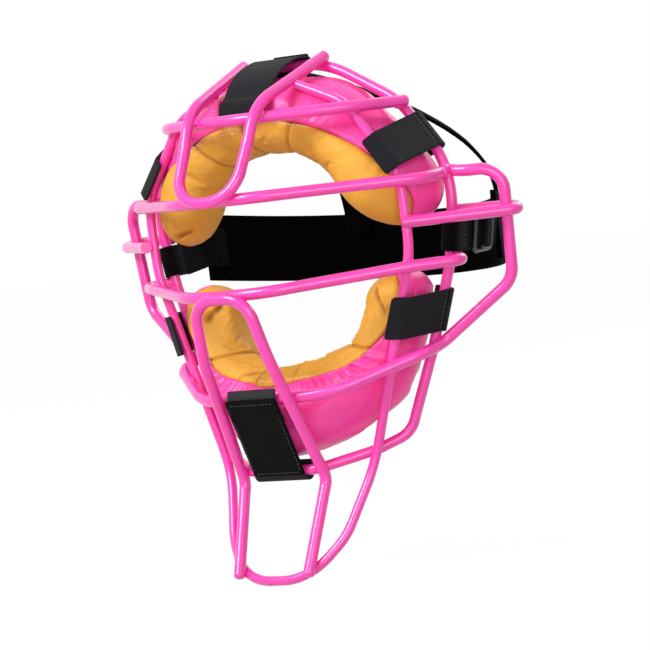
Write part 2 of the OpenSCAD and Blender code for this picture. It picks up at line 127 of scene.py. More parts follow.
class Shader:
    """A material's nodes, made one after the other."""

    def __init__(self, name, colour, roughness, **sockets):
        self.material = bpy.data.materials.new(name)
        self.material.use_nodes = True
        self.tree = self.material.node_tree
        self.surface = self.tree.nodes["Principled BSDF"]
        self.surface.inputs["Base Color"].default_value = (*colour, 1)
        self.surface.inputs["Roughness"].default_value = roughness
        for socket, value in sockets.items():
            self.surface.inputs[socket.replace("_", " ")].default_value = value
        self.colour = colour

    def node(self, kind, **values):
        made = self.tree.nodes.new("ShaderNode" + kind)
        for name, value in values.items():
            if name in made.inputs:
                made.inputs[name].default_value = value
            else:
                setattr(made, name, value)
        return made

    def join(self, source, target):
        self.tree.links.new(source, target)

    def pattern(self, kind, output, **values):
        made = self.node(kind, **values)
        self.join(self.node("TexCoord").outputs["Object"], made.inputs["Vector"])
        return made.outputs[output]

    def noise(self, scale, detail=2.0):
        return self.pattern("TexNoise", "Fac", Scale=scale, Detail=detail)

    def cells(self, scale):
        return self.pattern("TexVoronoi", "Distance", Scale=scale)

    def wave(self, axis, pitch):
        """A sine along a strip's length, X, or width, Y. Its pitch is in metres."""
        place = self.node("SeparateXYZ")
        self.join(self.node("TexCoord").outputs["UV"], place.inputs[0])
        turns = self.maths("MULTIPLY", place.outputs[axis], 2 * math.pi / pitch)
        return self.maths("SINE", turns, 0)

    def maths(self, operation, first, second):
        made = self.node("Math", operation=operation)
        for socket, value in zip(made.inputs, (first, second)):
            if isinstance(value, (int, float)):
                socket.default_value = value
            else:
                self.join(value, socket)
        return made.outputs[0]

    def sum_of(self, first, weight, second, other_weight):
        return self.maths("ADD", self.maths("MULTIPLY", first, weight),
                          self.maths("MULTIPLY", second, other_weight))

    def ramp(self, factor, *stops):
        made = self.node("ValToRGB")
        band = made.color_ramp.elements
        while len(band) < len(stops):
            band.new(0.5)
        for element, (place, colour) in zip(band, stops):
            element.position = place
            element.color = (*colour, 1)
        self.join(factor, made.inputs["Fac"])
        return made.outputs["Color"]

    def shades(self, factor, dark, light):
        """The base colour from dark to light times itself, as the factor goes from low to high."""
        stops = [tuple(min(1, c * k) for c in self.colour) for k in (dark, light)]
        return self.ramp(factor, (0.3, stops[0]), (0.7, stops[1]))

    def mixed(self, factor, first, shade):
        """A colour mixed with a shade that is given from 0 to 255."""
        made = self.node("Mix", data_type="RGBA")
        self.join(factor, made.inputs[0])
        self.join(first, made.inputs[6])
        made.inputs[7].default_value = (*paint(*shade), 1)
        return made.outputs[2]

    def paint_base(self, colour):
        self.join(colour, self.surface.inputs["Base Color"])

    def paint_fold_shade(self, colour, shade):
        """The base colour, with painted shade in the piece's folds."""
        fold = self.node("Attribute", attribute_name="fold").outputs["Fac"]
        self.paint_base(self.mixed(fold, colour, shade))

    def bump(self, height, distance, strength=1.0):
        made = self.node("Bump", Strength=strength, Distance=distance)
        before = self.surface.inputs["Normal"].links
        if before:
            self.join(before[0].from_socket, made.inputs["Normal"])
        self.join(height, made.inputs["Height"])
        self.join(made.outputs["Normal"], self.surface.inputs["Normal"])

    def vary_roughness(self, factor, low, high):
        made = self.node("MapRange")
        made.inputs["To Min"].default_value = low
        made.inputs["To Max"].default_value = high
        self.join(factor, made.inputs["Value"])
        self.join(made.outputs["Result"], self.surface.inputs["Roughness"])


def dipped_wire():
    """Thick glossy vinyl with the slow waves that dipping leaves."""
    make = Shader("dipped_wire", settings().colours.dip, 0.3, Coat_Weight=0.6,
                  Coat_Roughness=0.16, Specular_IOR_Level=0.5)
    make.paint_base(make.shades(make.noise(38, 3), 0.9, 1.06))
    make.vary_roughness(make.noise(120, 4), 0.24, 0.4)
    make.bump(make.noise(170, 3), 0.0004, 0.3)
    return make.material


def padded_vinyl():
    """Smooth supported vinyl: a fine grain, with painted shade in its folds."""
    make = Shader("padded_vinyl", settings().colours.cover, 0.4, Specular_IOR_Level=0.4,
                  Coat_Weight=0.15, Coat_Roughness=0.3)
    # Painted shade: a dark magenta mixed in along the folds, seams and gathers, where shade falls
    make.paint_fold_shade(make.shades(make.noise(24, 4), 0.93, 1.05), (176, 6, 88))
    make.vary_roughness(make.noise(90, 4), 0.34, 0.5)
    make.bump(make.cells(1500), 0.00012, 0.35)
    make.bump(make.noise(75, 4), 0.0009, 0.22)
    return make.material


def tan_leather():
    """Soft pebbled leather, darker at its pores, with painted shade in its folds and seams."""
    make = Shader("tan_leather", settings().colours.leather, 0.6, Specular_IOR_Level=0.35)
    blotch = make.shades(make.noise(30, 6), 0.86, 1.07)
    grain = make.cells(1150)
    pores = make.mixed(make.maths("MULTIPLY", grain, 0.35), blotch, (242, 188, 84))
    # Painted shade: a dark brown mixed in along the folds, seams and channels, where shade falls
    make.paint_fold_shade(pores, (146, 84, 12))
    make.vary_roughness(make.noise(220, 5), 0.5, 0.72)
    make.bump(grain, 0.00022, 0.5)
    make.bump(make.noise(110, 6), 0.0010, 0.3)
    return make.material


def woven(name, colour, pitch, relief, gloss=0.15):
    """Webbing: threads that cross over and under along the piece's own length and width."""
    make = Shader(name, colour, 0.7, Sheen_Weight=0.02, Specular_IOR_Level=gloss)
    crossing = make.maths("MULTIPLY", make.wave("X", pitch), make.wave("Y", pitch))
    height = make.maths("ADD", make.maths("MULTIPLY", crossing, 0.5), 0.5)
    fuzz = make.noise(900, 3)
    # The colour follows the weave's height: painted shade between the threads and painted highlight
    # where they rise, mixed with random fuzz in the threads' tone
    make.paint_base(make.shades(make.sum_of(height, 0.6, fuzz, 0.4), 0.4, 2.3))
    make.bump(height, relief, 0.8)
    make.bump(fuzz, 0.0003, 0.3)
    return make.material


def soft_pile():
    """The looped nap of a hook-and-loop face."""
    make = Shader("soft_pile", settings().colours.pile, 0.95, Sheen_Weight=0.03,
                  Specular_IOR_Level=0.08)
    nap = make.noise(1400, 4)
    make.paint_base(make.shades(nap, 0.5, 2.1))
    make.bump(nap, 0.0006, 0.7)
    make.bump(make.noise(160, 3), 0.0006, 0.3)
    return make.material


def knitted_elastic():
    """Black elastic: fine ribs along the band."""
    make = Shader("knitted_elastic", settings().colours.elastic, 0.9, Specular_IOR_Level=0.03)
    height = make.sum_of(make.wave("Y", 0.0016), 0.35, make.wave("X", 0.0011), 0.15)
    # The colour follows the ribs' height: painted shade in the grooves and painted highlight on the
    # ribs
    make.paint_base(make.shades(make.maths("ADD", height, 0.5), 0.7, 1.5))
    make.bump(height, 0.0003, 0.6)
    return make.material


def sewing_thread(name, colour):
    make = Shader(name, colour, 0.7, Sheen_Weight=0.2)
    make.paint_base(make.shades(make.noise(2500, 3), 0.8, 1.1))
    make.bump(make.noise(4000, 2), 0.0001, 0.5)
    return make.material


def painted_slide():
    make = Shader("painted_slide", settings().colours.slide, 0.35, Metallic=0.3)
    make.paint_base(make.shades(make.noise(200, 4), 0.8, 1.2))
    make.vary_roughness(make.noise(400, 3), 0.28, 0.5)
    make.bump(make.noise(900, 2), 0.00005, 0.4)
    return make.material


def open_foam():
    """The cut foam inside the pads."""
    make = Shader("open_foam", paint(214, 212, 204), 0.95)
    make.paint_base(make.shades(make.cells(700), 0.7, 1.05))
    make.bump(make.cells(900), 0.0004, 0.8)
    return make.material


MATERIALS = {}


def material(name):
    """Makes a material when it is first asked for."""
    colours = settings().colours
    makers = {
        "dip": dipped_wire, "vinyl": padded_vinyl, "leather": tan_leather, "pile": soft_pile,
        "elastic": knitted_elastic, "slide": painted_slide, "foam": open_foam,
        "webbing": lambda: woven("tab_webbing", colours.webbing, 0.0015, 0.0008),
        "strap": lambda: woven("strap_webbing", colours.elastic, 0.0013, 0.0004, gloss=0.05),
        "patch": lambda: woven("hook_webbing", colours.patch, 0.0009, 0.0003),
        "thread": lambda: sewing_thread("pale_thread", colours.thread),
        "dark_thread": lambda: sewing_thread("dark_thread", paint(74, 76, 80)),
        "brown_thread": lambda: sewing_thread("brown_thread", paint(120, 74, 24)),
    }
    if name not in MATERIALS:
        MATERIALS[name] = makers[name]()
    return MATERIALS[name]


# Making pieces

def add_object(name, data):
    made = bpy.data.objects.new(name, data)
    bpy.context.scene.collection.objects.link(made)
    return made


def mesh_object(bm, name):
    """An object at the origin that holds a bmesh."""
    mesh = bpy.data.meshes.new(name)
    bm.to_mesh(mesh)
    bm.free()
    return add_object(name, mesh)


def finish_piece(bm, name, finish, body, replaces=()):
    """Turns a bmesh in millimetres into a piece in metres that rides on its body."""
    bmesh.ops.scale(bm, vec=(MM, MM, MM), verts=bm.verts)
    for face in bm.faces:
        face.smooth = True
    piece = mesh_object(bm, name)
    piece.data.materials.append(material(finish))
    if replaces:
        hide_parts(*replaces)
    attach(piece, body)
    return piece


def surface_grid(columns, rows, place, length=1.0, width=1.0):
    """A grid laid on the surface that place(u, v) describes, and each vertex's u and v. Its UV map
    measures length and width in metres."""
    bm = bmesh.new()
    chart = bm.loops.layers.uv.new("surface")
    # A layer for the painted shade in a piece's folds, seams and channels
    bm.verts.layers.float.new("fold")
    bmesh.ops.create_grid(bm, x_segments=columns, y_segments=rows, size=0.5, calc_uvs=True)
    where = {v: (v.co.x + 0.5, v.co.y + 0.5) for v in bm.verts}
    for face in bm.faces:
        for loop in face.loops:
            u, v = where[loop.vert]
            loop[chart].uv = (u * length * MM, v * width * MM)
    for vert, (u, v) in where.items():
        vert.co = place(u, v)
    return bm, where


def thicken(piece, thickness, offset, bevel=0.0):
    wall = piece.modifiers.new("wall", "SOLIDIFY")
    wall.thickness = thickness * MM
    wall.offset = offset
    wall.use_even_offset = False
    if bevel:
        edge = piece.modifiers.new("edge", "BEVEL")
        edge.width = bevel * MM
        edge.segments = 2
        edge.limit_method = "ANGLE"
        edge.angle_limit = math.radians(50)


def smooth_path(points, count):
    """A curve through points, as count + 1 points at even steps."""
    points = [Vector(p) for p in points]
    padded = [2 * points[0] - points[1], *points, 2 * points[-1] - points[-2]]
    fine = []
    for a, b, c, d in zip(padded, padded[1:], padded[2:], padded[3:]):
        for i in range(16):
            t = i / 16
            fine.append(0.5 * (2 * b + (c - a) * t + (2 * a - 5 * b + 4 * c - d) * t ** 2
                               + (3 * b - a - 3 * c + d) * t ** 3))
    fine.append(points[-1])
    runs = [0.0]
    for a, b in zip(fine, fine[1:]):
        runs.append(runs[-1] + (b - a).length)
    spaced, j = [], 0
    for i in range(count + 1):
        want = runs[-1] * i / count
        while j < len(runs) - 2 and runs[j + 1] < want:
            j += 1
        share = (want - runs[j]) / max(1e-9, runs[j + 1] - runs[j])
        spaced.append(fine[j].lerp(fine[j + 1], share))
    return spaced, runs[-1]


def strip(name, path, across, width, thickness, finish, body, replaces=(), slot="charcoal_webbing",
          corners=(0, 0), ripple=0.12, steps=56):
    """A strip of webbing along a path. across is its width direction, or one for each point."""
    spine, length = smooth_path(path, steps)
    widths = across if isinstance(across, list) else [across] * len(path)
    widths = [Vector(way).normalized() for way in widths]
    marks = [0.0]
    for a, b in zip(path, path[1:]):
        marks.append(marks[-1] + (Vector(b) - Vector(a)).length)

    def place(u, v):
        i = min(steps - 1, int(u * steps))
        point = spine[i].lerp(spine[i + 1], u * steps - i)
        run = u * marks[-1]
        k = max(j for j in range(len(marks) - 1) if marks[j] <= run)
        share = (run - marks[k]) / (marks[k + 1] - marks[k])
        side = widths[k].lerp(widths[k + 1], share).normalized()
        half = width / 2
        for corner, distance in ((corners[0], u * length), (corners[1], (1 - u) * length)):
            if distance < corner:
                half -= corner - math.sqrt(max(0, corner ** 2 - (corner - distance) ** 2))
        face = side.cross(spine[i + 1] - spine[i]).normalized()
        wave = ripple * noise.noise(point * 0.11 + side * v * 2)
        return point + side * (2 * v - 1) * half + face * wave

    bm, _ = surface_grid(steps, 16, place, length, width)
    piece = finish_piece(bm, name, finish, body, replaces)
    thicken(piece, thickness, 0, bevel=min(0.35, thickness * 0.28))


def local_axes(origin, along, across):
    """x along the webbing, z across its width and y out of its face."""
    x = Vector(along).normalized()
    z = (Vector(across) - Vector(across).dot(x) * x).normalized()
    axes = Matrix((x, z.cross(x), z)).transposed().to_4x4()
    axes.translation = origin
    return axes


def round_wire(ring, lead):
    """The path of webbing that comes from lead in front of a wire and goes half round it."""
    turns = [math.radians(270 - 15 * i) for i in range(13)]
    return [Vector((lead, -ring, 0))] + [Vector((ring * math.cos(turn), ring * math.sin(turn), 0))
                                         for turn in turns]


def placed(axes, points):
    return [axes @ Vector(point) for point in points]


def thread_row(axes, x, y, half):
    """Points a millimetre apart, straight across the webbing."""
    return placed(axes, [(x, y, k - half) for k in range(int(2 * half) + 1)])


def mirrored(side):
    return Matrix.Diagonal((side, 1, 1, 1))


def ball_place(centre, way, halves, axis="Z", up="Y"):
    """Where a ball of radius 1 goes: its centre, the way that an axis turns to, its half sizes."""
    turn = way.to_track_quat(axis, up).to_matrix().to_4x4()
    return Matrix.Translation(centre) @ turn @ Matrix.Diagonal((*halves, 1))


def stitches(name, lines, finish, body, length, thickness=0.45):
    """Rows of stitches. Each line is a list of points on a surface, in millimetres."""
    bm = bmesh.new()
    for line in lines:
        whole = sum((Vector(b) - Vector(a)).length for a, b in zip(line, line[1:]))
        spaced, _ = smooth_path(line, max(2, int(whole / length)))
        for a, b in zip(spaced, spaced[1:]):
            halves = ((b - a).length * STITCH_SHARE / 2, thickness / 2, thickness / 2)
            bmesh.ops.create_icosphere(bm, subdivisions=2, radius=1,
                                       matrix=ball_place((a + b) / 2, b - a, halves, "X", "Z"))
    finish_piece(bm, name, finish, body)


# Pads

# A row gives an angle from the middle of the arch, the radius and depth of the section's centre,
# its half length and half thickness, its tilt, and where the front and rear seams lie round it.
# The tips close between the angles of "round". A channel gives its angle at the front seam and at
# the rear seam of the lining
RADIUS, DEPTH, LENGTH, THICKNESS, TILT, FRONT_SEAM, REAR_SEAM = range(1, 8)
PADS = {
    "upper": {
        "rows": ((0, 50, -15, 20, 18.5, 6, -88, 70), (14, 51, -13.5, 23, 18.3, 14, -82, 72),
                 (26, 53.6, -11.5, 25, 18, 22, -72, 75), (40, 55.5, -11.5, 24.5, 17, 28, -55, 80),
                 (55, 58, -13, 23, 16, 35, -32, 88), (90, 67.6, -8.4, 27, 17.2, 34, 5, 95)),
        "height": 14, "way": 1, "round": (80, 101),
        "channels": ((-45, -44), (-9, -9), (28, 28))},
    "lower": {
        "rows": ((0, 50.5, -35, 18, 23, 0, -131, 62), (25, 51.5, -27, 21.5, 21.5, 16, -119, 66),
                 (45, 53.7, -15, 25, 17.6, 24, -93, 70), (68, 55.7, -9, 19.5, 15, 16, -72, 64),
                 (90, 60, -5, 17, 15, 12, -38, 62)),
        "height": -38, "way": -1, "round": (93, 106),
        "channels": ((-68, -45), (-19, -20), (68, 49))}}
# A fold of a lining runs between two places, each an angle of the arch and one round the section.
# Its depth and its width follow
FOLDS = {
    "upper": (((-97, 316), (-95, 258), 2.3, 1.3), ((-96, 326), (-89, 316), 1.2, 1.0),
              ((-84, 300), (-96, 286), 0.5, 1.2), ((-90, 150), (-80, 190), 0.6, 1.2),
              ((92, 200), (95, 250), 0.7, 1.2), ((-38, 262), (-40, 236), 0.3, 1.6)),
    "lower": (((-39, 262), (-39, 242), 1.3, 1.0), ((-40, 246), (-18, 200), 2.2, 1.3),
              ((-88, 270), (-94, 250), 2.1, 2.0), ((-93, 252), (-99, 224), 2.2, 2.3),
              ((-58, 289), (-49, 288), 0.7, 0.9), ((-102, 330), (-100, 318), 0.6, 1.0),
              ((100, 264), (91, 272), 2.6, 1.5), ((92, 271), (85, 287), 2.4, 1.4),
              ((41, 150), (43, 236), 1.1, 1.2), ((21, 150), (21, 240), 1.2, 1.2),
              ((5, 230), (8, 262), 0.5, 1.1), ((-76, 200), (-70, 232), 0.5, 1.3))}
# Rows of stitches on the linings: the angles of their ends, and how far behind the front seam
THREADS = {"upper": ((-52, -12, 6), (-52, -14, 11), (-13, -4, 8), (-4, 40, 1.5)),
           "lower": ((-18, 10, 8), (4, 34, 3))}
# Each skin's finish, its material slot and its thickness
SKIN_KINDS = {"cover": ("vinyl", "pink_vinyl", 1.1), "lining": ("leather", "tan_leather", 1.4)}
# Half the space between the skins at a seam, in degrees, and how deep the skins and the foam lie
SEAM_GAP, SKIN_DEPTH, FOAM_DEPTH = 0.12, 0.15, 4.2
# The grid of a skin, and of the one that has gathers
SKIN_COLUMNS, GATHERED_COLUMNS, SKIN_ROWS = 230, 330, 64
# Frames for which a skin settles as cloth, the grid of that sheet, the share of the skin that it
# leaves out at each tip, and the most that a lining may move, in millimetres
SETTLE_FRAMES, SHEET_COLUMNS, SHEET_ROWS, SHEET_MARGIN, MOST_SWELL = 20, 116, 33, 0.02, 2.4
SKINS = {}


def exact_reading(pad, column, angle):
    rows = pad["rows"]
    angle = abs(angle)
    for low, high in zip(rows, rows[1:]):
        if angle <= high[0]:
            share = (angle - low[0]) / (high[0] - low[0])
            return low[column] + (high[column] - low[column]) * share
    return rows[-1][column]


def reading(pad, column, angle):
    """A pad's table read with its corners softened."""
    return sum(exact_reading(pad, column, angle + step) for step in (-5, -2.5, 0, 2.5, 5)) / 5


def squared(value):
    return math.copysign(abs(value) ** 0.85, value)


def pad_point(pad, angle, around, sink):
    """A point on a pad's section at an angle of its arch, sunk below the surface."""
    start, stop = pad["round"]
    over = (abs(angle) - start) / (stop - start)
    end = 1 if over <= 0 else math.sqrt(max(0, 1 - over * over))
    sink *= min(1, 3 * end)
    turn = math.radians(around)
    along = (reading(pad, LENGTH, angle) * end - sink) * squared(math.sin(turn))
    across = (reading(pad, THICKNESS, angle) * end - sink) * squared(math.cos(turn))
    tilt = math.radians(reading(pad, TILT, angle))
    radius = reading(pad, RADIUS, angle) + across * math.cos(tilt) + along * math.sin(tilt)
    back = reading(pad, DEPTH, angle) + along * math.cos(tilt) - across * math.sin(tilt)
    swing = math.radians(angle)
    return Vector((radius * math.sin(swing), back,
                   pad["height"] + pad["way"] * radius * math.cos(swing)))


def seams(pad, angle, lining):
    """Where one skin of a pad starts and stops round the section."""
    front, rear = reading(pad, FRONT_SEAM, angle), reading(pad, REAR_SEAM, angle)
    if lining:
        return rear + SEAM_GAP, front + 360 - SEAM_GAP
    return front + SEAM_GAP, rear - SEAM_GAP


def dip(distance, width):
    """A smooth hollow: 1 in its middle and near 0 at twice its width."""
    return math.exp(-(distance / width) ** 2)


def crease_depth(pad, angle, around, creases):
    """Depth of the folds at a place. A fold runs between two places of the skin, and one side of
    it swells a little."""
    depth = 0.0
    radius = math.radians(reading(pad, RADIUS, angle))
    for (a0, s0), (a1, s1), deep, width in creases:
        dx, dy = (a1 - a0) * radius, (s1 - s0) * 0.33
        px, py = (angle - a0) * radius, (around - s0) * 0.33
        length = math.hypot(dx, dy)
        t = (px * dx + py * dy) / length ** 2
        off = (px * dy - py * dx) / length
        fade = 1 - min(1, abs(2 * t - 1)) ** 3 if -0.1 < t < 1.1 else 0
        beyond = max(0, -t, t - 1) * length
        fade = max(fade, 0) * dip(beyond, 2)
        depth += deep * fade * (dip(off, width) - 0.45 * dip(off - 2.2 * width, 1.6 * width))
    return depth


def arch_angle(pad, u):
    """The angle of the arch at a share of a pad's length. The steps are finer at the tips."""
    t = 2 * u - 1
    return pad["round"][1] * (1.3 - 0.3 * t * t) * t


def skin_place(pad, lining, u, v):
    """A place of a skin: its angle of the arch, its place round the section, and how far it lies
    from the seams at its two edges."""
    angle = arch_angle(pad, u)
    start, end = seams(pad, angle, lining)
    size = (reading(pad, LENGTH, angle) + reading(pad, THICKNESS, angle)) / 2
    width = math.radians(abs(end - start)) * size
    return angle, start + (end - start) * v, v * width, (1 - v) * width


def from_channel(pad, channel, angle, v):
    """How far a place lies from a channel, along the arch."""
    front, rear = channel
    return math.radians(angle - rear - (front - rear) * v) * reading(pad, RADIUS, angle)


def settle(pad, lining, bare):
    """Cloth between the seams and channels that hold it: it swells over the foam and puckers. Gives
    how far each place of the skin moves, in millimetres."""
    pads = settings().pads
    columns, rows = SHEET_COLUMNS, SHEET_ROWS

    def inside(u):
        """The part of a skin that settles: at the very tips its section closes to a point."""
        return SHEET_MARGIN + (1 - 2 * SHEET_MARGIN) * u

    bm, where = surface_grid(columns, rows, lambda u, v: bare(inside(u), v))
    bmesh.ops.scale(bm, vec=(MM, MM, MM), verts=bm.verts)
    bm.verts.index_update()
    held = {}
    for vert, (u, v) in where.items():
        angle, _, rear, front = skin_place(pad, lining, inside(u), v)
        grip = max(dip(rear, 1), dip(front, 1), dip(min(u, 1 - u) * columns, 0.5))
        if lining:
            grip = max([grip] + [dip(from_channel(pad, c, angle, v), 1.6) for c in pad["channels"]])
        held[vert.index] = min(1, grip)
    places = {(round(u * columns), round(v * rows)): vert.index for vert, (u, v) in where.items()}
    start = [vert.co.copy() for vert in bm.verts]
    sheet = mesh_object(bm, "sheet")
    group = sheet.vertex_groups.new(name="held")
    for index, grip in held.items():
        group.add([index], grip, "REPLACE")
    cloth = sheet.modifiers.new("cloth", "CLOTH").settings
    cloth.vertex_group_mass = "held"
    cloth.use_pressure = True
    cloth.uniform_pressure_force = pads.pressure
    cloth.shrink_min = -pads.slack if lining else -pads.slack / 2
    cloth.mass = 0.01
    cloth.effector_weights.gravity = 0
    for frame in range(1, SETTLE_FRAMES + 1):
        bpy.context.scene.frame_set(frame)
    settled = sheet.evaluated_get(bpy.context.evaluated_depsgraph_get()).to_mesh()
    moves = [(vert.co - before) / MM for vert, before in zip(settled.vertices, start)]
    bpy.context.scene.frame_set(1)
    bpy.data.objects.remove(sheet)
    limit = MOST_SWELL if lining else MOST_SWELL / 3
    moves = [move * min(1, limit / max(move.length, 1e-6)) for move in moves]

    def weights(share):
        """How much each of four neighbours counts, for a smooth curve through them."""
        return (share * (share * (2 - share) - 1) / 2, 1 + share ** 2 * (3 * share - 5) / 2,
                share * (1 + share * (4 - 3 * share)) / 2, share ** 2 * (share - 1) / 2)

    def swell(u, v):
        u = min(1, max(0, (u - SHEET_MARGIN) / (1 - 2 * SHEET_MARGIN)))
        i, j = min(int(u * columns), columns - 1), min(int(v * rows), rows - 1)
        across, along = weights(u * columns - i), weights(v * rows - j)
        total = Vector()
        for k in range(4):
            for n in range(4):
                near = (max(0, min(columns, i + k - 1)), max(0, min(rows, j + n - 1)))
                total += moves[places[near]] * across[k] * along[n]
        return total

    return swell


def gathers(angle, below, height):
    """Depth and shade of the gathers under the front seam, fine at the chin and long and wide at
    the cheek. below is the distance from the seam."""
    run = math.radians(abs(angle)) * 56
    cheek = min(1, max(0, (run - 24) / 40))
    reach = 4.5 + 9 * cheek
    height *= (1 - dip(below, 1.2)) * math.exp(-(below / reach) ** 1.4)
    height *= 0.3 + 0.7 * min(1, max(0, (run - 14) / 14))
    height *= max(0, 1 - (abs(angle) / 78) ** 8) * (1 if angle > 0 else 0.6)
    phase = 84 * math.log(1.6 + 0.075 * run) + 1.8 * noise.noise((run * 0.12, 3.1, below * 0.05))
    wave = math.sin(phase) * (0.7 + 0.7 * noise.noise((run * 0.21, 0, 1.7)))
    return height * (wave + 0.75), height * max(0, wave)


def skin(which, kind, creases=(), ruche=0, columns=SKIN_COLUMNS):
    """The leather or vinyl of a pad, from seam to seam, with its channels, folds and gathers."""
    pad, lining, name = PADS[which], kind == "lining", f"{which}_{kind}"
    finish, slot, thickness = SKIN_KINDS[kind]
    pads = settings().pads
    crown, seam, channel = (value / MM for value in (pads.crown, pads.seam, pads.channel))
    # Painted shade at each place of the skin, which goes to the "fold" attribute
    folds = {}

    def crowned(v, edge):
        """How far a lining swells between its seams."""
        return crown * math.sin(math.pi * v) ** 0.6 * min(1, edge / 8) if lining else 0

    def bare(u, v):
        angle, around, rear, front = skin_place(pad, lining, u, v)
        return pad_point(pad, angle, around, SKIN_DEPTH - crowned(v, min(rear, front)))

    swell = settle(pad, lining, bare)

    def place(u, v):
        angle, around, rear, front = skin_place(pad, lining, u, v)
        edge = min(rear, front)
        # fold is painted shade: where the skin turns in at its seams, in the channels, along the
        # creases and in the gathers' hollows
        fold = 0.3 * seam * dip(edge, 0.8)
        sink = seam * dip(edge, 1.5) + SKIN_DEPTH - crowned(v, edge)
        for line in pad["channels"] if lining else ():
            off = from_channel(pad, line, angle, v)
            fold += channel * 0.7 * dip(off, 0.9)
            sink += channel * (0.75 * dip(off, 0.9) + 0.45 * dip(off, 5))
        crease = crease_depth(pad, angle, around, creases)
        sink += crease
        fold += max(0, crease)
        if ruche:
            depth, shade = gathers(angle, rear, ruche)
            sink += depth
            fold += shade
        slack = noise.noise((angle * 0.06, around * 0.025, 5.0 if lining else 9.0))
        sink += 0.35 * slack if lining else 0.12 * slack + 0.1
        folds[(round(u, 5), round(v, 5))] = min(1, max(0, fold / 2.4))
        point = pad_point(pad, angle, around, sink)
        return point + swell(u, v) if swell else point

    radius = reading(pad, RADIUS, 0)
    length = radius * math.radians(2 * pad["round"][1])
    bm, where = surface_grid(columns, SKIN_ROWS, place, length, 60)
    shade = bm.verts.layers.float["fold"]
    for vert, (u, v) in where.items():
        vert[shade] = folds[(round(u, 5), round(v, 5))]
    middle = min(where, key=lambda w: abs(where[w][0] - 0.5) + abs(where[w][1] - 0.5))
    centre = Vector((0, reading(pad, DEPTH, 0), pad["height"] + pad["way"] * radius))
    bm.normal_update()
    if middle.normal.dot(middle.co - centre) < 0:
        bmesh.ops.reverse_faces(bm, faces=bm.faces)
    bmesh.ops.remove_doubles(bm, verts=bm.verts, dist=0.0005)
    SKINS[name] = BVHTree.FromBMesh(bm)
    piece = finish_piece(bm, name, finish, "cage", [f"{which}_pad_{kind}"])
    thicken(piece, thickness, -1)


def foam(which):
    """The foam inside a pad."""
    pad = PADS[which]
    bm, _ = surface_grid(72, 36, lambda u, v: pad_point(pad, arch_angle(pad, u), 360 * v,
                                                        FOAM_DEPTH), 180, 110)
    bmesh.ops.remove_doubles(bm, verts=bm.verts, dist=0.0005)
    bmesh.ops.recalc_face_normals(bm, faces=bm.faces)
    piece = finish_piece(bm, f"{which}_foam", "foam", "cage", [f"{which}_pad_core"])


class MASK_OT_upper_pad(bpy.types.Operator):
    """Pad over the forehead, of vinyl and leather over foam"""
    bl_idname = "mask.upper_pad"
    bl_label = "Upper pad"

    def execute(self, context):
        foam("upper")
        skin("upper", "cover")
        skin("upper", "lining", FOLDS["upper"])
        return {"FINISHED"}


class MASK_OT_lower_pad(bpy.types.Operator):
    """Pad round the jaw and chin, gathered along its front seam"""
    bl_idname = "mask.lower_pad"
    bl_label = "Lower pad"

    def execute(self, context):
        foam("lower")
        skin("lower", "cover", ruche=settings().pads.ruche / MM, columns=GATHERED_COLUMNS)
        skin("lower", "lining", FOLDS["lower"])
        return {"FINISHED"}


class MASK_OT_pad_stitching(bpy.types.Operator):
    """Rows of thread along the pads' front seams and in their channels"""
    bl_idname = "mask.pad_stitching"
    bl_label = "Pad stitching"

    def execute(self, context):
        length = settings().webbing.stitch / MM
        channels = []
        for which in PADS:
            stitches(f"{which}_pad_thread", [self.row(which, *where) for where in THREADS[which]],
                     "thread", "cage", length)
            channels += [self.across(which, channel) for channel in PADS[which]["channels"]]
        stitches("channel_thread", channels, "brown_thread", "cage", length, thickness=0.4)
        return {"FINISHED"}

    def laid(self, which, points, lift):
        """The points brought on to a pad's lining, a little proud of it."""
        found = [SKINS[f"{which}_lining"].find_nearest(point) for point in points]
        return [spot + normal * lift for spot, normal, _, _ in found]

    def row(self, which, start, stop, back):
        """A row at a distance behind the front seam, in degrees of the section."""
        pad = PADS[which]
        angles = [start + (stop - start) * i / 24 for i in range(25)]
        return self.laid(which, [pad_point(pad, angle, reading(pad, FRONT_SEAM, angle) + 360 - back,
                                           0.1) for angle in angles], 0.12)

    def across(self, which, channel):
        """A row along a channel, from seam to seam."""
        pad, (front, rear) = PADS[which], channel
        line = []
        for i in range(4, 37):
            angle = rear + (front - rear) * i / 40
            start, end = seams(pad, angle, True)
            line.append(pad_point(pad, angle, start + (end - start) * i / 40, 2.6))
        return self.laid(which, line, -0.05)


# Tabs

# Thickness of the webbing and of the straps, and the gap between faces that lie together
WEBBING, STRAP, GAP = 1.4, 1.8, 0.3
# Width of the webbing
SIDE_WIDTH, TOP_WIDTH, CHIN_WIDTH, ANCHOR_WIDTH = 22, 29, 32, 30
# Radius at which it goes round the rear frame and round the chin's wire
TAB_RING, CHIN_RING = 4.05, 4.25
# Height of the rear frame's top, the part of a stitch that is thread, and the thread's height over
# the middle of the webbing
FRAME_TOP, STITCH_SHARE, THREAD_LIFT = 88, 0.65, 0.72
# Where a side tab goes round the rear frame, where its flap crosses the front frame, and its axis
SIDE_TABS = {
    "upper": ((82.307, 0, 46), (72.9, -25.3, 38), (-27.4, 0, 37.5)),
    "lower": ((80.756, -1.61, -43), (70.434, -24.604, -44), (13.5, 3, 41))}


def side_tab_axes(which):
    at, over, across = (Vector(v) for v in SIDE_TABS[which])
    across.normalize()
    reach = over - at
    run = reach - reach.dot(across) * across
    return at, reach, across, run.normalized()


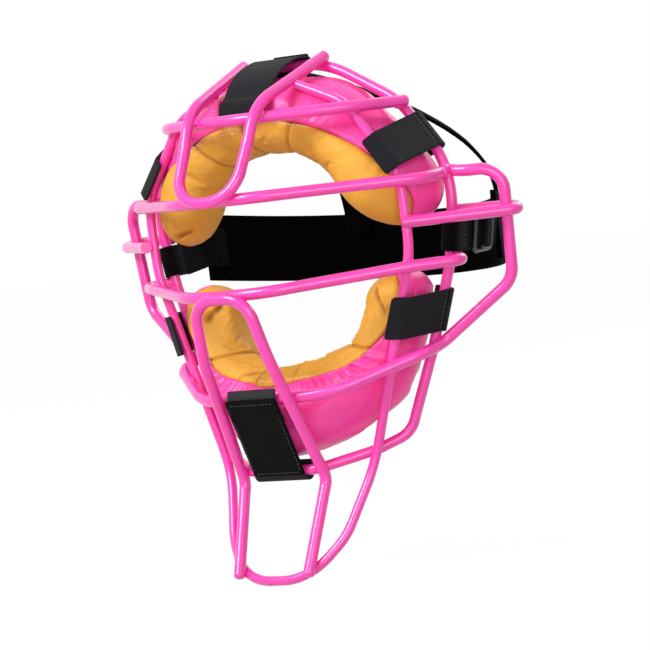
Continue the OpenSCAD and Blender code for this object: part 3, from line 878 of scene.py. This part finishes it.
class MASK_OT_tabs(bpy.types.Operator):
    """Webbing that goes round the rear frame, under the flaps"""
    bl_idname = "mask.tabs"
    bl_label = "Tabs"

    def execute(self, context):
        thickness = settings().webbing.thickness / MM
        for which in SIDE_TABS:
            at, _, across, run = side_tab_axes(which)
            axes = local_axes(at, run, across)
            for side, sign in SIDES:
                turn = mirrored(sign)
                strip(f"{which}_wrap_{side}", placed(turn @ axes, round_wire(TAB_RING, 3)),
                      turn.to_3x3() @ across, SIDE_WIDTH, thickness, "webbing", "cage",
                      [f"{which}_tab_{side}"], ripple=0)
        top = local_axes((0, 0, FRAME_TOP), (0, -1, 0), (-1, 0, 0))
        chin = chin_axes()
        for which, axes, path, width in (("top", top, round_wire(TAB_RING, 6), TOP_WIDTH),
                                         ("chin", chin, round_wire(CHIN_RING, 4), CHIN_WIDTH)):
            strip(f"{which}_wrap", placed(axes, path), (1, 0, 0), width, thickness, "webbing",
                  "cage", [f"{which}_tab"], ripple=0)
        path = placed(chin, ((48.5, 1.5, 0), (44.5, 4, 0), (38.5, 4, 0), (29.5, 3, 0)))
        strip("chin_anchor", path, (1, 0, 0), ANCHOR_WIDTH, thickness, "patch", "cage",
              ["chin_tab_anchor"], corners=(1, 1))
        stitches("anchor_thread", [thread_row(chin, 46.2, 3.75, 13)], "dark_thread", "cage", 2.2)
        return {"FINISHED"}


def chin_axes():
    return local_axes((0, -42, -117.5), (0, -15.5, 38.5), (1, 0, 0))


class MASK_OT_flaps(bpy.types.Operator):
    """Flaps that peel open over the cage"""
    bl_idname = "mask.flaps"
    bl_label = "Flaps"

    def execute(self, context):
        webbing = settings().webbing
        thickness, corner = webbing.thickness / MM, webbing.corner / MM
        for which in SIDE_TABS:
            self.side_flaps(which, thickness, corner)
        top = FRAME_TOP + TAB_RING
        path = [(0, -0.4, top), (0, -9, top - 0.2), (0, -21, top - 4.2), (0, -30, top - 10),
                (0, -36.2, top - 17.5), (0, -40.5, 72.5), (0, -42.5, 65.5)]
        strip("top_flap_piece", path, (1, 0, 0), TOP_WIDTH, thickness, "webbing", "top_flap",
              ["top_tab_flap"], corners=(0, corner))
        self.chin_flap(thickness)
        return {"FINISHED"}

    def side_flaps(self, which, thickness, corner):
        at, reach, across, run = side_tab_axes(which)
        out = across.cross(reach).normalized()
        far = reach.dot(run)
        drift = reach - far * run
        # Height over the front frame's middle: its radius, the room over it and half the webbing
        rise = 2.5 + 1.2 + WEBBING / 2
        path = [at + run * 0.4 + out * TAB_RING,
                at + run * (far - 3) + drift * 0.9 + out * (rise + 0.4),
                at + run * (far + 1.5) + drift * 1.05 + out * (rise - 0.4),
                at + run * (far + 7) + drift * 1.3 + out * (rise - 4)]
        for side, sign in SIDES:
            turn, body = mirrored(sign), f"{which}_{side}_flap"
            strip(f"{which}_flap_piece_{side}", placed(turn, path), turn.to_3x3() @ across,
                  SIDE_WIDTH, thickness, "webbing", body, [f"{which}_tab_flap_{side}"],
                  corners=(0, corner))
            lines = []
            for inset, lift in ((1.6, TAB_RING), (far + 4, rise - 2.2)):
                base = at + run * inset + drift * (inset / far) + out * (lift + THREAD_LIFT)
                lines.append(placed(turn, [base + across * (k - 9.5) for k in range(20)]))
            stitches(f"{which}_flap_thread_{side}", lines, "dark_thread", body, 2.0, thickness=0.35)

    def chin_flap(self, thickness):
        axes = chin_axes()
        # Height over the jaw wire's middle, on top of the anchor, and distance to that wire
        high, far = 3 + GAP + WEBBING / 2 + WEBBING + GAP, 41.5
        path = placed(axes, ((0.4, CHIN_RING, 0), (14, CHIN_RING + 0.35, 0),
                             (far - 14, high - 0.6, 0), (far - 3, high, 0), (far + 3.5, high, 0)))
        strip("chin_flap_piece", path, (1, 0, 0), CHIN_WIDTH, thickness, "pile", "chin_flap",
              ["chin_tab_flap"], corners=(0, 0.8), ripple=0.2)
        lines = [placed(axes, [(3 + 1.9 * k, CHIN_RING + 0.82 + 0.0345 * 1.9 * k, side)
                               for k in range(21)]) for side in (-14.6, 14.6)]
        lines += [thread_row(axes, far + 0.8, high + 0.78, 13.5),
                  thread_row(axes, 1.6, CHIN_RING + 0.8, 13.5)]
        stitches("chin_flap_thread", lines, "dark_thread", "chin_flap", 2.2, thickness=0.3)


# Harness

# Where the right strap's loop goes round the rear frame, and the way of the frame there
LOOP_AT = Vector((90.7188, 0, -6.5))
RIM_DOWN = Vector((-9, 0, -48)).normalized()
# Where the side straps start, from the loops' middles, and the middle of the head
STRAP_START, HEAD = 10.5, Vector((0, 30, 0))
# The band's ends, as angles round the head, and its thickness
BAND_FROM, BAND_TO, BAND = 29.5, 162.5, 3
LOOP_WIDTH, STRAP_WIDTH, FOLD_WIDTH, BAND_WIDTH, CROWN_WIDTH, PATCH_WIDTH = 16, 20, 17, 36, 14, 22
# The slide's wire, and where it stands along the strap
SLIDE_WIRE, SLIDE_AT = 2, 35.5
# Where each crown strap's foot meets the band, as an angle of the band, and how full its curve is
CROWN = {"right": (43, 0.98), "left": (64, 0.86)}


def band_point(angle):
    turn = math.radians(angle)
    back = -6 + 126 * math.sin(turn)
    return Vector((94 * math.cos(turn), back, -2 - 12 * max(0, back - 32) / 88))


def crown_point(t, foot, fullness):
    at = band_point(foot)
    start = Vector((5.5, 10.15, 83))
    end = Vector((at.x, at.y, at.z + 19.35))
    under = start.lerp(end, fullness)
    pull = Vector((under.x, under.y, 50))
    return start * (1 - t) ** 2 + pull * 2 * t * (1 - t) + end * t * t


def strap_end(side, step=0):
    """Where a side strap meets the band, or a place some degrees further round the band."""
    if side > 0:
        return band_point(BAND_FROM + step)
    return mirrored(-1) @ band_point(BAND_TO - step)


def inward(point):
    """The level way from a place of the band to the middle of the head."""
    return (Vector((HEAD.x, HEAD.y, point.z)) - point).normalized()


def harness_strip(part, path, across, width, thickness, finish, side="", body="cage", **how):
    """A strip of the harness, in place of the node of its name."""
    strip(f"{part}_piece{side}", path, across, width, thickness, finish, body, [f"{part}{side}"],
          slot="black_elastic", **how)


class MASK_OT_harness(bpy.types.Operator):
    """Loops, side straps, back band and crown straps"""
    bl_idname = "mask.harness"
    bl_label = "Harness"

    def execute(self, context):
        for side, sign in SIDES:
            self.side_strap(f"_{side}", sign)
        self.fold()
        path = [band_point(BAND_FROM + (BAND_TO - BAND_FROM) * i / 60) for i in range(61)]
        harness_strip("back_band", path, (0, 0, 1), BAND_WIDTH, BAND, "elastic", ripple=0.35,
                      steps=150)
        for side, sign in SIDES:
            self.crown_strap(side, sign)
        patch = [(0, 5.75, 80 + 14 * i / 6) for i in range(7)]
        harness_strip("crown_patch", patch, (1, 0, 0), PATCH_WIDTH, STRAP, "strap",
                      corners=(1.5, 1.5), ripple=0.05)
        NODES["strap_slide"].data.materials.clear()
        NODES["strap_slide"].data.materials.append(material("slide"))
        return {"FINISHED"}

    def side_strap(self, side, sign):
        """A loop with its two rows of thread, and the strap from it to the band."""
        turn = mirrored(sign)
        reach = strap_end(sign) - LOOP_AT
        face = STRAP / 2 + GAP + WEBBING / 2
        axes = local_axes(LOOP_AT, reach - reach.dot(RIM_DOWN) * RIM_DOWN, RIM_DOWN)
        path = [(14, -face, 0), (8, -face, 0), *round_wire(TAB_RING, 3), (3, TAB_RING, 0),
                (8, face, 0), (14, face, 0)]
        harness_strip("strap_loop", placed(turn @ axes, path), turn.to_3x3() @ RIM_DOWN,
                      LOOP_WIDTH, WEBBING, "strap", side, ripple=0, steps=72)
        lines = [thread_row(turn @ axes, x, face + THREAD_LIFT, 7) for x in (10.5, 12.8)]
        stitches(f"strap_loop_thread{side}", lines, "dark_thread", "cage", 2.0, thickness=0.35)
        axes = local_axes(LOOP_AT, reach, RIM_DOWN)
        # The right strap ends under the band, clear of the slide. The left one runs on inside it
        run = reach.length - STRAP_START - (0.6 if sign > 0 else 5)
        path = placed(axes, [(STRAP_START + run * i / 8, 0, 0) for i in range(9)])
        ways = [axes.to_3x3().col[2]] * 9
        for step in () if sign > 0 else (1, 5):
            sewn = strap_end(sign, step)
            path.append(sewn + 2.5 * inward(sewn))
            ways.append(Vector((0, 0, -1)))
        harness_strip("side_strap", placed(turn, path), placed(turn.to_3x3(), ways), STRAP_WIDTH,
                      STRAP, "strap", side, ripple=0.1)

    def fold(self):
        """The webbing that is folded over the slide."""
        axes = local_axes(LOOP_AT, strap_end(1) - LOOP_AT, RIM_DOWN)
        low = STRAP / 2 + GAP + WEBBING / 2
        high = low + SLIDE_WIRE + GAP
        path = placed(axes, [(SLIDE_AT + x, y, 0) for x, y in (
            (-9.2, low), (-5, low), (-2, high), (2, high), (5, low), (9.2, low))])
        harness_strip("strap_fold", path, axes.to_3x3().col[2], FOLD_WIDTH, WEBBING, "strap",
                      body="slide", ripple=0, steps=40)

    def crown_strap(self, side, sign):
        """A leg of the strap over the head, from behind the patch down inside the band."""
        turn = mirrored(sign)
        path, ways = [], []
        for i in range(21):
            before, spot, after = (crown_point(min(1, max(0, i / 20 + step)), *CROWN[side])
                                   for step in (-0.02, 0, 0.02))
            run = (after - before).normalized()
            path.append(turn @ spot)
            ways.append(turn.to_3x3() @ run.cross(spot - HEAD).normalized())
        for height in (85.5, 89):
            path.insert(0, turn @ Vector((5.5, 7.6, height)))
            ways.insert(0, ways[0])
        foot = path[-1]
        for drop, shift in ((4, 2), (12, 2.6)):
            path.append(foot + inward(foot) * shift - Vector((0, 0, drop)))
            ways.append(ways[-1])
        harness_strip("crown_strap", path, ways, CROWN_WIDTH, STRAP, "elastic", f"_{side}",
                      corners=(5, 0), ripple=0.2)


# Cage

# A free end of a wire on the right, the way it points, and the wire's radius
WIRE_ENDS = (((73.8, -2.5, 63.5), (14.8, 30.5, 0), 3), ((26, -1, 91.15), (4.7, 57.5, 21.15), 3),
             ((22, -61, -168), (-4, -19.5, -46), 3), ((26.5, -28, 78), (-27.5, -2, 12), 2.5),
             ((92, 5.15, 5.5), (-18, -3, 0.6), 3), ((92.8, -2.15, 25.5), (0.3, 17.85, 1.5), 3))
# A weld's lens: the widest crossing that gets one, its largest radius and its half thickness
WELD_SPREAD, LENS_RADIUS, LENS_HALF = 4.8, 3.6, 1.7
# Directions tried for the lens, spread evenly by the golden turn
DIRECTIONS, GOLDEN_TURN = 200, 2.399963


class MASK_OT_cage(bpy.types.Operator):
    """Vinyl dip on the wires, the beads on their ends and the fillets at their welds"""
    bl_idname = "mask.cage"
    bl_label = "Cage"

    def execute(self, context):
        for name in WIRES:
            mesh = NODES[name].data
            mesh.materials.clear()
            mesh.materials.append(material("dip"))
        bm = bmesh.new()
        for _, sign in SIDES:
            for at, way, radius in WIRE_ENDS:
                halves = (radius + 0.04, radius + 0.04, radius * 0.62)
                bmesh.ops.create_uvsphere(
                    bm, u_segments=32, v_segments=16, radius=1,
                    matrix=mirrored(sign) @ ball_place(at, Vector(way), halves))
        self.dipped(bm, "wire_end_beads")
        self.fillets()
        return {"FINISHED"}

    def dipped(self, bm, name):
        bmesh.ops.recalc_face_normals(bm, faces=bm.faces)
        finish_piece(bm, name, "dip", "cage")

    def fillets(self):
        """A lens of vinyl in the crease of each weld, found where two wires' skins cross."""
        trees, middles = {}, {}
        for name in WIRES:
            mesh = NODES[name].data
            mesh.calc_loop_triangles()
            corners = [v.co.copy() for v in mesh.vertices]
            faces = [tuple(t.vertices) for t in mesh.loop_triangles]
            trees[name] = BVHTree.FromPolygons(corners, faces)
            middles[name] = [sum((corners[i] for i in face), Vector()) / 3 for face in faces]
        bm = bmesh.new()
        for first, second in itertools.combinations(WIRES, 2):
            pairs = trees[first].overlap(trees[second])
            for _, sign in SIDES:
                spots = [(middles[first][a] + middles[second][b]) / 2 / MM for a, b in pairs
                         if sign * middles[first][a].x > 0]
                if len(spots) > 5:
                    self.lens(bm, spots)
        self.dipped(bm, "weld_fillets")

    def lens(self, bm, spots):
        """A flat ball on a crossing, turned to lie in the plane that fits the spots best."""
        centre = sum(spots, Vector()) / len(spots)
        spread = max((p - centre).length for p in spots)
        if spread > WELD_SPREAD:
            return
        ways = []
        for k in range(DIRECTIONS):
            height, turn = 1 - 2 * (k + 0.5) / DIRECTIONS, GOLDEN_TURN * k
            level = math.sqrt(1 - height * height)
            ways.append(Vector((level * math.cos(turn), level * math.sin(turn), height)))
        thin = min(ways, key=lambda way: sum((p - centre).dot(way) ** 2 for p in spots))
        radius = min(LENS_RADIUS, spread + 0.9)
        bmesh.ops.create_icosphere(bm, subdivisions=3, radius=1,
                                   matrix=ball_place(centre, thin, (radius, radius, LENS_HALF)))


# Stage

# The camera's place, its lens and its sensor's width in millimetres
CAMERA = Matrix(((0.8065, 0.0648, 0.5877, 1.0752), (0.5796, 0.1102, -0.8074, -1.4692),
                 (-0.1170, 0.9918, 0.0513, 0.0464), (0, 0, 0, 1)))
LENS, SENSOR = 193.8, 36
# Each lamp's place and size in metres, the setting that gives its power, and a share of that
LAMPS = (("key", (-0.5, -1.5, 1.3), 0.9, "key", 1), ("fill", (1.3, -1.5, 0.15), 1.2, "fill", 1),
         ("back", (0.2, 1.4, 1.1), 1.0, "fill", 0.7))
LIT_POINT = Vector((0, 0, -0.03))
# The floor's height and half its width, the strength of its white, and how white the camera sees it
FLOOR_HEIGHT, FLOOR_HALF, FLOOR_WHITE, FLOOR_SHARE = -0.176, 4, 1.03, 0.95


class MASK_OT_stage(bpy.types.Operator):
    """Camera, lamps and a white floor"""
    bl_idname = "mask.stage"
    bl_label = "Stage"

    def execute(self, context):
        scene = context.scene
        stage = settings().stage
        scene.view_settings.view_transform = "Standard"
        camera = add_object("camera", bpy.data.cameras.new("camera"))
        camera.data.lens = LENS
        camera.data.sensor_width = SENSOR
        camera.data.clip_start = 0.1
        camera.matrix_world = CAMERA
        scene.camera = camera
        for name, spot, size, setting, share in LAMPS:
            lamp = add_object(name, bpy.data.lights.new(name, "AREA"))
            lamp.data.energy = getattr(stage, setting) * share
            lamp.data.size = size
            lamp.location = spot
            lamp.rotation_euler = (LIT_POINT - Vector(spot)).to_track_quat("-Z", "Y").to_euler()
        self.surround(scene, stage.world)
        self.floor()
        return {"FINISHED"}

    def white_when_seen(self, tree, lit, white, output, share):
        """Mixes white in for rays from the camera, or that a glossy or clear surface sends on."""
        rays = tree.nodes.new("ShaderNodeLightPath").outputs
        steps = [tree.nodes.new("ShaderNodeMath") for _ in range(3)]
        mix = tree.nodes.new("ShaderNodeMixShader")
        steps[0].operation = steps[1].operation = "MAXIMUM"
        steps[2].operation = "MULTIPLY"
        steps[2].inputs[1].default_value = share
        for source, target in ((rays["Is Camera Ray"], steps[0].inputs[0]),
                               (rays["Is Glossy Ray"], steps[0].inputs[1]),
                               (steps[0].outputs[0], steps[1].inputs[0]),
                               (rays["Is Transmission Ray"], steps[1].inputs[1]),
                               (steps[1].outputs[0], steps[2].inputs[0]),
                               (steps[2].outputs[0], mix.inputs[0]),
                               (lit.outputs[0], mix.inputs[1]), (white.outputs[0], mix.inputs[2]),
                               (mix.outputs[0], tree.nodes[output].inputs["Surface"])):
            tree.links.new(source, target)

    def surround(self, scene, strength):
        world = scene.world = bpy.data.worlds.new("surround")
        world.use_nodes = True
        tree = world.node_tree
        plain = tree.nodes["Background"]
        white = tree.nodes.new("ShaderNodeBackground")
        plain.inputs["Strength"].default_value = strength
        for node in (plain, white):
            node.inputs["Color"].default_value = (1, 1, 1, 1)
        self.white_when_seen(tree, plain, white, "World Output", 1)

    def floor(self):
        bm = bmesh.new()
        bmesh.ops.create_grid(bm, x_segments=1, y_segments=1, size=FLOOR_HALF)
        bmesh.ops.translate(bm, vec=(0, 0, FLOOR_HEIGHT), verts=bm.verts)
        floor = mesh_object(bm, "floor")
        paper = Shader("white_floor", (0.5, 0.5, 0.5), 0.9, Specular_IOR_Level=0)
        glow = paper.node("Emission", Strength=FLOOR_WHITE)
        self.white_when_seen(paper.tree, paper.surface, glow, "Material Output", FLOOR_SHARE)
        floor.data.materials.append(paper.material)


OPERATORS = (MASK_OT_stage, MASK_OT_cage, MASK_OT_upper_pad, MASK_OT_lower_pad,
             MASK_OT_pad_stitching, MASK_OT_tabs, MASK_OT_flaps, MASK_OT_harness)


class MaskSettings(bpy.types.PropertyGroup):
    colours: PointerProperty(type=MaskColours, name="Colours")
    pads: PointerProperty(type=PadSettings, name="Pads")
    webbing: PointerProperty(type=WebbingSettings, name="Webbing")
    stage: PointerProperty(type=StageSettings, name="Stage")


class MASK_PT_panel(bpy.types.Panel):
    """Lists the mask's pieces and settings"""
    bl_label = "Umpire mask"
    bl_idname = "MASK_PT_panel"
    bl_space_type = "VIEW_3D"
    bl_region_type = "UI"
    bl_category = "Mask"

    def draw(self, context):
        layout = self.layout
        for group in ("colours", "pads", "webbing", "stage"):
            box = layout.box()
            values = getattr(context.scene.mask, group)
            for name in values.bl_rna.properties.keys():
                if name not in {"rna_type", "name"}:
                    box.prop(values, name)
        for operator in OPERATORS:
            layout.operator(operator.bl_idname)


CLASSES = (MaskColours, PadSettings, WebbingSettings, StageSettings, MaskSettings, MASK_PT_panel)


def register():
    for item in CLASSES + OPERATORS:
        bpy.utils.register_class(item)
    bpy.types.Scene.mask = PointerProperty(type=MaskSettings)


def unregister():
    del bpy.types.Scene.mask
    for item in reversed(CLASSES + OPERATORS):
        bpy.utils.unregister_class(item)


def main():
    register()
    for operator in OPERATORS:
        group, name = operator.bl_idname.split(".")
        getattr(getattr(bpy.ops, group), name)()


if __name__ == "__main__":
    main()
